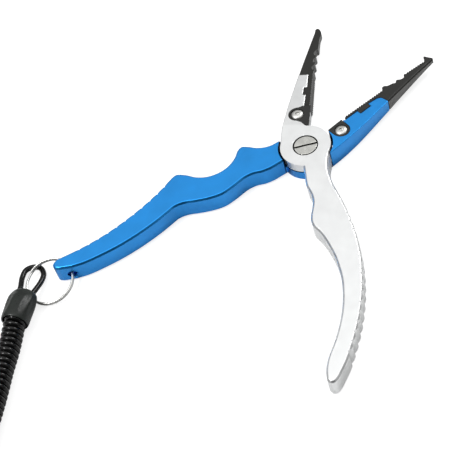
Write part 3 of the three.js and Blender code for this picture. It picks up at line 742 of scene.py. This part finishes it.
def ridge_tools(edge, outward, count):
    """Thumb ridges along a handle's outer edge: notches with rounded crests between them."""
    line = even([(x, y, 0) for x, y in spline(edge, 20)], 0.1)
    total = length_of(line)
    tools = []
    for i in range(count + 1):
        at = min(len(line) - 2, round(i * RIDGE_PITCH / total * (len(line) - 1)))
        centre = Vector(line[at][:2])
        before = Vector(line[max(at - 3, 0)][:2])
        after = Vector(line[min(at + 3, len(line) - 1)][:2])
        along = (after - before).normalized()
        out = Vector((-along.y, along.x)) * outward
        notch = []
        for k in range(-6, 7):
            s = k / 12
            lift = 0.01 - RIDGE_DEPTH * (1 - 2 * abs(s)) ** 2
            notch.append(centre + along * s * RIDGE_PITCH + out * lift)
        notch += [centre + along * s * RIDGE_PITCH + out * 2 for s in (0.5, -0.5)]
        tools.append(plate("tool", [tuple(p) for p in notch], -1, THICKNESS + 1))
    return tools


def fit_tools(cutter, insert_screw, grip_side):
    """Cutter pocket, screw holes, tang slot and pivot bore."""
    sx, sy = cutter["screw"]
    ix, iy = insert_screw
    reach = (iy - 2, grip_side) if iy < 0 else (grip_side, iy + 2)
    return [
        plate("tool", grown(cutter_outline(cutter), 0.3), 5.7, THICKNESS + 2),
        pin(1.65, 1.6, THICKNESS, sx, sy, 32),
        block((ix - 3.9, reach[0], 2.9), (ix + 3.9, reach[1], 6.6)),
        turned("tool", [(0, -1), (2, -1), (2, 2.1), (1.4, 2.8), (1.4, 7), (0, 7)], ix, iy, 32),
        pin(BARREL_BORE_R, -1, THICKNESS + 1),
    ]


def paint_light_and_shade(obj, material, inside):
    """Paints light and shade onto faces: gives one more material to the faces whose middle, in millimetres, and
    upward slope pass the test.
    """
    obj.data.materials.append(material)
    for face in obj.data.polygons:
        if inside(*(c / MM for c in face.center), face.normal.z):
            face.material_index = len(obj.data.materials) - 1


def around(place, radius, low, high):
    """The test for faces within a radius of a vertical axis and between two heights."""
    x, y = place
    return lambda fx, fy, fz, rise: math.hypot(fx - x, fy - y) < radius and low < fz < high


def upright(x, y, z, rise):
    return abs(rise) < 0.3


FIXED_SEAT = [
    (34.6, -2.4), (34.6, -4.2), (28.6, -4.2), (28.4, -2.1), (21.4, -2.1), (20.9, -1.6), (10, -1.6), (4, -2),
    (-2, -6),
]
MOVING_SEAT = [
    (2, 6), (4, 1.4), (11.2, 0.9), (23.4, 0.9), (23.4, 3), (30.2, 3), (30.2, 4.4), (34.9, 4.4), (34.9, 3),
    (42.8, 3.2),
]
HANDLE_CHAMFER = 0.8
JAW_EDGE = (0.25, 0.3, 0.1)


def handle_of(name, outer, end, inner, root):
    outline = spline(outer, 8) + spline(end, 8) + spline(inner, 8) + root
    return plate(name, outline, 0, THICKNESS, HANDLE_CHAMFER)


def fixed_frame():
    handle = handle_of("blue_frame_body", FIXED_HANDLE_OUTER, FIXED_HANDLE_END, FIXED_HANDLE_INNER,
        [(-2, 0), (-1, 6)])
    cut(handle, *ridge_tools(FIXED_RIDGES, -1, 10))
    jaw_outline = spline(FIXED_JAW_OUTER, 8) + spline(FIXED_JAW_NOSE, 6) + FIXED_SEAT
    jaw = taper(plate("tool", jaw_outline, 0, THICKNESS, *JAW_EDGE))
    join(handle, jaw, pin(BOSS_R, 0, LAP_LOW_TOP, segments=128))
    bore = [(0, -8), (2.35, -8), (2.35, -4.3), (1.95, -3.5), (1.95, 3.5), (2.35, 4.3), (2.35, 8), (0, 8)]
    hole = move(turned("tool", bore, segments=48), aim(RING_HOLE, RING_HOLE_RUN))
    recess = pin(RECESS_R, LAP_LOW_TOP, THICKNESS + 1, segments=128)
    cut(handle, recess, pin(NUT_SEAT_R, -1, 2.1, segments=96), hole)
    cut(handle, *fit_tools(FIXED_CUTTER, FIXED_INSERT_SCREW, 2))
    soften(handle, 0.12)
    return shade(handle)


def moving_frame():
    handle = handle_of("silver_frame_body", MOVING_HANDLE_OUTER, MOVING_HANDLE_END, MOVING_HANDLE_INNER,
        [(-2, 0), (2, -6)])
    cut(handle, *ridge_tools(MOVING_RIDGES, 1, 15))
    jaw_outline = MOVING_SEAT + spline(MOVING_JAW_OUTER[::-1], 8)
    jaw = taper(plate("tool", jaw_outline, 0, THICKNESS, *JAW_EDGE))
    join(handle, jaw, pin(BOSS_R, LAP_HIGH_FLOOR, THICKNESS, segments=128))
    recess = pin(RECESS_R, -1, LAP_HIGH_FLOOR, segments=128)
    cut(handle, recess, pin(HEAD_SEAT_R, HEAD_SEAT_FLOOR, THICKNESS + 1, segments=96))
    cut(handle, *fit_tools(MOVING_CUTTER, MOVING_INSERT_SCREW, -2))
    soften(handle, 0.12)
    return shade(handle)


# ---------------------------------------------------------------- jaw inserts
def serrations(start, stop, teeth, depth, out):
    """Fine blunt teeth along a straight run of a grip face; out points away from the metal."""
    points = []
    for i in range(teeth):
        for t, fall in ((0, 1), (0.1, 0.86), (0.58, 0.1), (0.7, 0), (0.82, 0.25)):
            u = (i + t) / teeth
            x = start[0] + (stop[0] - start[0]) * u
            points.append((x, start[1] + (stop[1] - start[1]) * u - out * depth * fall))
    return points + [(stop[0], stop[1] - out * depth)]


def near_line(point, line, limit):
    for a, b in zip(line, line[1:]):
        run = Vector(b) - Vector(a)
        t = max(0, min(1, (Vector(point) - Vector(a)).dot(run) / run.length_squared))
        if (Vector(point) - Vector(a) - run * t).length < limit:
            return True
    return False


def round_flank(obj, flank, top, bottom):
    """Rounds the long upper and lower edges of an insert's outer flank."""
    bm = bmesh.new()
    bm.from_mesh(obj.data)
    middle = THICKNESS / 2 * MM
    for size, above in ((top, True), (bottom, False)):
        edges = []
        for edge in bm.edges:
            ends = [v.co for v in edge.verts]
            level = all((c.z > middle) == above for c in ends)
            along = abs(ends[0].x - ends[1].x) + abs(ends[0].y - ends[1].y) > 1e-6
            if level and along and all(near_line((c.x / MM, c.y / MM), flank, 0.02) for c in ends):
                edges.append(edge)
        bmesh.ops.bevel(bm, geom=edges, offset=size * MM, offset_type="OFFSET", segments=6, profile=0.5,
            affect="EDGES", clamp_overlap=False)
    bm.to_mesh(obj.data)
    bm.free()
    return obj


def insert_piece(name, outline, flank, screw, top, bottom):
    sx, sy = screw
    reach = (sy - 1.7, -1.9) if sy < 0 else (2.4, sy + 1.7)
    body = round_flank(taper(plate(name, outline, 0, THICKNESS)), flank, top, bottom)
    join(body, block((sx - 3.6, reach[0], 3.2), (sx + 3.6, reach[1], 6.3)))
    cut(body, pin(1.25, 2, 5.8, sx, sy, 32))
    soften(body, 0.07)
    return shade(body)


FIXED_CRESTS = [
    (44.4, -0.7), (45.2, 0.25), (46.4, 0.3), (47.4, -0.6), (48.6, -1), (50, -1.3), (51, -1.9), (51.6, -1.8),
    (52, -1.25), (53, -1.2), (53.8, -1.9), (55, -2.3), (56, -2.2), (56.6, -1.4), (57.4, -0.9),
]
FIXED_HOOK = [
    (68.6, -1.9), (69.2, -1.5), (70.4, 0.6), (70.8, 0.5), (71.6, -1.2), (72.5, -3), (72.3, -3.6),
]
FIXED_FLANK = [(71.6, -3.7), (66, -4.35), (60, -5.1), (53, -6.1), (47, -6.95), (41.65, -7.8)]
FIXED_INSERT_SEAT = [
    (41.8, -6.7), (41.55, -5.2), (40.95, -3.45), (39.2, -2.45), (34.3, -2.1), (34.3, -3.9), (28.9, -3.9),
    (28.7, -1.8), (22, -1.8), (21.9, -1.2),
]
MOVING_PAD = [
    (58.7, 1.2), (59, 0.5), (62, 0.45), (66, 0.4), (68.9, -0.1), (70.4, 0.2), (71.8, 0.9), (72.6, 1.8),
    (72.3, 2.7), (71.4, 3.1),
]
MOVING_FLANK = [(71.4, 3.1), (65.5, 4.1), (58.6, 5.2), (51.6, 6.35), (46, 7.2), (43.1, 7.6)]
MOVING_INSERT_SEAT = [
    (43.1, 2.9), (34.6, 2.7), (34.6, 4.1), (30.5, 4.1), (30.5, 2.7), (23.8, 2.7), (23.8, 0.9),
]


def fixed_insert():
    strip = serrations((22.4, -0.55), (43.6, -0.95), 17, 0.45, 1)
    nose = serrations((58.2, -1), (68, -1.5), 8, 0.45, 1)
    flank = spline(FIXED_FLANK, 4)
    grip = strip + spline(FIXED_CRESTS, 3) + nose + spline(FIXED_HOOK, 4)
    outline = grip + flank + FIXED_INSERT_SEAT
    return insert_piece("blue_jaw_insert_body", outline, flank, FIXED_INSERT_SCREW, 0.9, 0.4)


def moving_insert():
    strip = serrations((24, 0.45), (42.6, 0.95), 16, 0.4, -1)
    scallops = []
    for x in (45.6, 50.2, 54.8):
        scallops += spline([(x - 1, 0.95), (x, 0.9), (x + 0.35, 1.6), (x + 1.4, 2.1), (x + 2.6, 1.9)], 4)
    flank = spline(MOVING_FLANK, 4)
    outline = strip + scallops + spline(MOVING_PAD, 4) + flank + MOVING_INSERT_SEAT
    return insert_piece("silver_jaw_insert_body", outline, flank, MOVING_INSERT_SCREW, 0.9, 0.5)


# ---------------------------------------------------------------- cutters, screws, pivot
def cutter_blade(name, cutter):
    x, y = cutter["screw"]
    side = cutter["metal"]
    edge_y = cutter["edge"][0][1]
    blade = plate(name, cutter_outline(cutter), CUTTER_FLOOR, CUTTER_TOP)
    ground_away = [
        (edge_y - side, CUTTER_TOP - 0.2), (edge_y, CUTTER_TOP - 0.2),
        (edge_y + side * 2.2, CUTTER_FLOOR - 1), (edge_y - side, CUTTER_FLOOR - 1),
    ]
    bevel = prism_x(ground_away, 5, 30)
    cut(blade, bevel, pin(1.62, 0, 12, x, y, 48), pin(BUTTON_SEAT_R, CUTTER_SEAT, 12, x, y, 96))
    soften(blade, 0.09)
    return shade(blade)


def button_screw(name, place):
    x, y = place
    seat = CUTTER_SEAT
    side = [(2.8, 0.12), (2.74, 0.36), (2.35, 0.8), (1.7, 1.08), (1.2, 1.17)]
    dome = spline([(r, seat + z) for r, z in side], 4)
    profile = [(0, 1.8), (1.4, 1.8), (1.5, 1.95), (1.5, seat), (2.7, seat)] + dome + [(0, seat + 1.2)]
    screw = turned(name, profile, x, y, 96)
    cut(screw, pin(1.05, seat + 0.35, seat + 3, x, y, 6, 0.3))
    soften(screw, 0.05, 2, 50)
    return shade(screw)


def insert_screw(name, place):
    x, y = place
    side = [(0, 1.1), (1.65, 1.1), (1.8, 1.25), (1.8, 1.9), (1.1, 2.6), (1.1, 5.5), (1, 5.6), (0, 5.6)]
    screw = turned(name, side, x, y, 64)
    cut(screw, pin(0.75, 0.5, 1.8, x, y, 6))
    soften(screw, 0.05, 2, 50)
    return shade(screw)


def barrel_nut():
    flange = [(0, 0), (5, 0), (5.2, 0.2), (5.2, 1.9)]
    barrel = [(4, 1.9), (4, 6.65), (3.85, 6.8), (2.6, 6.8), (2.6, 1.4), (0, 1.4)]
    nut = turned("pivot_nut_body", flange + barrel, segments=96)
    cut(nut, pin(0.7, -1, 0.9, 3.6, 0, 24), pin(0.7, -1, 0.9, -3.6, 0, 24))
    soften(nut, 0.07)
    return shade(nut)


def lap_washer():
    side = [(4.15, 4.5), (7.9, 4.5), (8, 4.6), (8, 4.9), (7.9, 5), (4.15, 5)]
    return shade(turned("lap_washer_body", side, segments=96))


SLOT_ANGLE = -32


def pivot_screw():
    head = [(5.13, 7), (5.15, 7.1), (5.15, 9.2), (5.1, 9.36), (4.98, 9.46), (4.85, 9.5), (0, 9.5)]
    screw = turned("pivot_screw_body", [(0, 1.7), (2.4, 1.7), (2.5, 1.8), (2.5, 7)] + head, segments=128)
    cut(screw, move(block((-8, -0.45, 8.5), (8, 0.45, 12)), Matrix.Rotation(math.radians(SLOT_ANGLE), 4, "Z")))
    soften(screw, 0.06, 2, 50)
    return shade(screw)


RING_CENTRE = (-119.85, 32.15, 3.15)
RING_NORMAL = (-0.177, -0.064, 1)
RING_R = 10.5
RING_SWEEP = 676
JOGGLE = (322, 360)
RING_END = 150


def split_ring():
    """Two turns of polished wire, with a joggle where it climbs from one turn to the other."""
    steps = 360
    rings = []
    for i in range(steps + 1):
        a = RING_SWEEP * i / steps
        t = min(1, max(0, (a - JOGGLE[0]) / (JOGGLE[1] - JOGGLE[0])))
        level = -0.5 + t * t * (3 - 2 * t)
        level += 0.03 * math.sin(math.radians(2 * a))
        turn = math.radians(a + RING_END)
        out = Vector((math.cos(turn), math.sin(turn), 0))
        ring = []
        for k in range(20):
            c, s = math.cos(2 * math.pi * k / 20), math.sin(2 * math.pi * k / 20)
            ring.append(tuple(out * (RING_R + 0.5 * c) + Vector((0, 0, level + 0.47 * s))))
        rings.append(ring)
    ring = new_object("split_ring_wire", rings_to_bmesh(rings))
    move(ring, aim(RING_CENTRE, RING_NORMAL, (0, 1, 0)))
    return shade(ring, 60)


# ---------------------------------------------------------------- snap hook, along +X from the far sleeve
HOOK_LEVEL = 3.9
EYE_X = 12.4
COLLAR_X = 16.1
HOOK_X = 21
GATE_PIN = (HOOK_X + 3.8, 3.3)


def along_x(obj, x):
    return move(obj, aim((x, 0, HOOK_LEVEL), (1, 0, 0)))


def shifted(points, dx):
    return [(x + dx, y) for x, y in points]


def swivel_eye():
    eye = turned("hook_swivel_eye_body", arc(4.6, 0, 1, 0, 345, 23), EYE_X, 0, 96)
    move(eye, Matrix.Translation((0, 0, HOOK_LEVEL * MM)))
    collar = [(0, 0), (2.2, 0), (2.4, 0.15), (2.7, 0.6), (2.7, 3.6), (2.5, 3.8), (0, 3.8)]
    join(eye, along_x(turned("tool", collar, segments=64), COLLAR_X))
    bore = along_x(pin(1.35, -4, 8, segments=48), COLLAR_X)
    head_room = along_x(pin(2.3, -1.8, 0, segments=48), COLLAR_X)
    cut(eye, bore, head_room)
    soften(eye, 0.1, 2, 50)
    return shade(eye)


HOOK_OUTER = [
    (0, -3), (3, -5.4), (8, -6.4), (14, -6.8), (19, -6.8), (24, -5.6), (27.4, -2.2), (28, 1.2), (26, 4.6),
    (22.6, 6.2), (20, 6),
]
HOOK_INNER = [
    (19.6, 4.2), (22, 3.4), (23.9, 1.4), (24, -0.8), (21.6, -3), (17, -3.6), (9.6, -3.3), (6.6, -2.2),
    (5.6, 0.6), (6.4, 3), (6.2, 5.4),
]
HOOK_BACK = [(3.4, 6.2), (0.6, 5), (0, 3)]
SHANK = [(0, 0), (1.9, 0), (1.9, 1), (1.25, 1.05), (1.25, 5.6), (2.9, 5.7), (2.9, 7.5), (0, 7.5)]


def snap_hook():
    x, y = GATE_PIN
    outline = shifted(spline(HOOK_OUTER, 5) + spline(HOOK_INNER, 5) + HOOK_BACK, HOOK_X)
    body = plate("hook_body_casting", outline, HOOK_LEVEL - 2.3, HOOK_LEVEL + 2.3, 0.7, 0.8, 0.8)
    join(body, along_x(turned("tool", SHANK, segments=64), COLLAR_X - 1.35))
    slot = block((HOOK_X + 1.7, -1.4, HOOK_LEVEL - 1.25), (HOOK_X + 7, 7, HOOK_LEVEL + 1.25))
    cut(body, slot, pin(0.95, 0, 9, x, y, 32))
    soften(body, 0.15)
    return shade(body)


def hook_gate():
    x, y = GATE_PIN
    low, high = HOOK_LEVEL - 1, HOOK_LEVEL + 1
    outline = [(x, y - 0.9), (x + 12, y - 1.2), (x + 17.4, y - 1.4), (x + 17.4, y - 0.2), (x + 15.2, y + 0.8),
        (x + 14.8, y + 1.6), (x, y + 1.7)]
    gate = plate("hook_gate_bar", outline, low, high, 0.3, 0.2, 0.2)
    join(gate, pin(1.8, low, high, x, y, 48))
    cut(gate, pin(2.2, HOOK_LEVEL + 0.1, 9, x, y, 48), pin(0.72, 0, 9, x, y, 32))
    soften(gate, 0.08)
    return shade(gate)


def gate_pin():
    low, high = HOOK_LEVEL - 2.1, HOOK_LEVEL + 2.1
    profile = [(0, low), (0.5, low), (0.65, low + 0.15), (0.65, high - 0.15), (0.5, high), (0, high)]
    return shade(turned("hook_gate_pin_body", profile, *GATE_PIN, 48), 50)


def gate_spring():
    x, y = GATE_PIN
    wire = []
    for i in range(49):
        a = math.pi + 2 * math.pi * 2 * (1 - i / 48)
        wire.append((x + 1.27 * math.cos(a), y + 1.27 * math.sin(a), HOOK_LEVEL + 0.5 + 0.38 * (1 - i / 48)))
    wire += [(x - 1.27, y - 0.8, HOOK_LEVEL + 0.5), (x - 1.23, y - 2.5, HOOK_LEVEL + 0.55),
        (x - 1.2, y - 4.1, HOOK_LEVEL + 0.6)]
    return shade(tube("hook_gate_spring_wire", wire, 0.17, 12), 60)


# ---------------------------------------------------------------- all the rigid pieces, on their bodies
TO_ROW = Matrix.Rotation(OPEN_ANGLE, 4, "Z")


def blue(obj, material, slot, node):
    return give(obj, material, "blue_half", slot, node)


def silver(obj, material, slot, node):
    return give(move(obj, TO_ROW), material, "silver_half", slot, node)


frame_blue = blue(fixed_frame(), BLUE, "blue_anodised", "blue_frame")
# Painted shade on the lap and recess wall beside the boss.
paint_light_and_shade(frame_blue, LAP_PAINTED_SHADE, around((0, 0), 12.25, 4.2, 9.2))
# Painted shade on the pocket faces round the cutter screw.
paint_light_and_shade(frame_blue, RECESS_PAINTED_SHADE, around(FIXED_CUTTER["screw"], 4.3, 5.5, 9.3))
blue_insert = blue(fixed_insert(), INSERT, "black_steel", "blue_jaw_insert")
# Painted sheen on the insert's upright sides.
paint_light_and_shade(blue_insert, INSERT_SIDE_PAINTED_SHEEN, upright)
blue(insert_screw("blue_insert_screw_body", FIXED_INSERT_SCREW), STEEL, "stainless", "blue_insert_screw")
blue_blade = cutter_blade("blue_cutter_blade_body", FIXED_CUTTER)
blue(blue_blade, BLADE, "black_steel", "blue_cutter_blade")
# Painted shade in the blade's seat round the cutter screw's head.
paint_light_and_shade(blue_blade, RECESS_PAINTED_SHADE, around(FIXED_CUTTER["screw"], 3.15, 8.2, 9.06))
blue_button = button_screw("blue_cutter_screw_body", FIXED_CUTTER["screw"])
blue(blue_button, SCREW, "stainless", "blue_cutter_screw")
blue(barrel_nut(), STEEL, "stainless", "pivot_nut")
pivot = blue(pivot_screw(), PIVOT, "stainless", "pivot_screw")
# Painted shade on the pivot screw's slot and the side of its head.
paint_light_and_shade(pivot, RECESS_PAINTED_SHADE, around((0, 0), 6, 7.05, 9.45))
blue(lap_washer(), BRONZE, "bronze", "lap_washer")

moved_screw = (TO_ROW @ Vector((*MOVING_CUTTER["screw"], 0)))[:2]
frame_silver = silver(moving_frame(), SILVER, "silver_anodised", "silver_frame")
# Painted shade in the seat ring round the pivot head and on the pocket faces round the cutter screw.
paint_light_and_shade(frame_silver, RECESS_PAINTED_SHADE, around((0, 0), 5.75, 6.7, 9.46))
paint_light_and_shade(frame_silver, RECESS_PAINTED_SHADE, around(moved_screw, 4.3, 5.5, 9.3))
silver_insert = silver(moving_insert(), INSERT, "black_steel", "silver_jaw_insert")
# Painted sheen on the insert's upright sides.
paint_light_and_shade(silver_insert, INSERT_SIDE_PAINTED_SHEEN, upright)
silver_low_screw = insert_screw("silver_insert_screw_body", MOVING_INSERT_SCREW)
silver(silver_low_screw, STEEL, "stainless", "silver_insert_screw")
silver_blade = cutter_blade("silver_cutter_blade_body", MOVING_CUTTER)
silver(silver_blade, BLADE, "black_steel", "silver_cutter_blade")
# Painted shade in the blade's seat round the cutter screw's head.
paint_light_and_shade(silver_blade, RECESS_PAINTED_SHADE, around(moved_screw, 3.15, 8.2, 9.06))
silver_button = button_screw("silver_cutter_screw_body", MOVING_CUTTER["screw"])
silver(silver_button, SCREW, "stainless", "silver_cutter_screw")

give(split_ring(), WIRE, "ring", "stainless", "split_ring")
hook_pieces = [
    give(move(swivel_eye(), FAR_TURN), NICKEL, "swivel_eye", "hook_nickel", "hook_swivel_eye"),
    give(move(snap_hook(), FAR_TURN), NICKEL, "snap_hook", "hook_nickel", "hook_body"),
    give(move(hook_gate(), FAR_TURN), NICKEL, "gate", "hook_nickel", "hook_gate"),
    give(move(gate_pin(), FAR_TURN), STEEL, "snap_hook", "stainless", "hook_gate_pin"),
    give(move(gate_spring(), FAR_TURN), STEEL, "snap_hook", "stainless", "hook_gate_spring"),
]


# ---------------------------------------------------------------- floor, light, world
# Brightness of the studio by height: dark low down, a bright wall above, a strong soft light overhead.
SKY = [
    (0.0, 0.22), (0.35, 0.28), (0.55, 0.60), (0.70, 0.82), (0.80, 0.94), (0.88, 1.05), (0.95, 1.7), (1.0, 1.8),
]
DARK_SIDE = (-0.36, -0.70, 0.62)
DARK_RAMP = [(0.70, 1.0), (0.90, 0.10)]


def floor_material(name, colour, glow):
    m = Nodes(name)
    grey = [(0.3, (colour * 0.985,) * 3), (0.7, (colour,) * 3)]
    m.link(m.ramp(m.noise(6, 3), grey), m.shader.inputs["Base Color"])
    m.set(Roughness=0.9, Specular_IOR_Level=0.0, Emission_Color=(1, 1, 1, 1), Emission_Strength=glow)
    return m.material


def make_floor():
    """A pale floor; what the metal reflects is a plain white sheet just under what the camera sees."""
    for name, level, colour, glow in (("floor", 0.0, 0.40, 0.78), ("floor_sheet", -0.02, 0.72, 0.0)):
        bm = bmesh.new()
        bmesh.ops.create_circle(bm, cap_ends=True, segments=64, radius=1600)
        bmesh.ops.translate(bm, vec=(0, 0, level), verts=bm.verts)
        floor = new_object(name, bm)
        floor.data.materials.append(floor_material(name, colour, glow))
        seen = name == "floor"
        floor.visible_camera = seen
        floor.visible_glossy = not seen
        floor.visible_diffuse = not seen
        floor.visible_shadow = not seen


def grey_ramp(tree, source, stops):
    ramp = tree.nodes.new("ShaderNodeValToRGB")
    elements = ramp.color_ramp.elements
    while len(elements) < len(stops):
        elements.new(0.5)
    top = max(value for _, value in stops)
    for element, (at, value) in zip(elements, stops):
        element.position = at
        element.color = (value / top, value / top, value / top, 1)
    tree.links.new(source, ramp.inputs["Fac"])
    return ramp.outputs["Color"], top


def make_world():
    world = bpy.data.worlds.new("studio")
    world.use_nodes = True
    tree = world.node_tree
    background = tree.nodes["Background"]
    place = tree.nodes.new("ShaderNodeTexCoord").outputs["Generated"]
    split = tree.nodes.new("ShaderNodeSeparateXYZ")
    tree.links.new(place, split.inputs["Vector"])
    sky, top = grey_ramp(tree, split.outputs["Z"], SKY)
    dot = tree.nodes.new("ShaderNodeVectorMath")
    dot.operation = "DOT_PRODUCT"
    dot.inputs[1].default_value = Vector(DARK_SIDE).normalized()
    tree.links.new(place, dot.inputs[0])
    shade_side, _ = grey_ramp(tree, dot.outputs["Value"], DARK_RAMP)
    both = tree.nodes.new("ShaderNodeMix")
    both.data_type = "RGBA"
    both.blend_type = "MULTIPLY"
    both.inputs["Factor"].default_value = 1
    tree.links.new(sky, both.inputs["A"])
    tree.links.new(shade_side, both.inputs["B"])
    tree.links.new(both.outputs["Result"], background.inputs["Color"])
    background.inputs["Strength"].default_value = top
    SCENE.world = world


def softbox(name, direction, distance, size, power):
    light = bpy.data.lights.new(name, "AREA")
    light.shape = "RECTANGLE"
    light.size, light.size_y = size
    light.energy = power
    obj = bpy.data.objects.new(name, light)
    obj.location = Vector(direction).normalized() * distance + Vector((-0.08, -0.02, 0))
    obj.rotation_euler = Vector(direction).to_track_quat("Z", "Y").to_euler()
    SCENE.collection.objects.link(obj)


make_floor()
make_world()
softbox("left_box", (-0.44, 0.21, 0.875), 1.2, (0.3, 0.3), 6)
softbox("right_box", (0.75, 0.15, 0.55), 1.2, (0.25, 0.5), 4)
SCENE.view_settings.view_transform = "Standard"
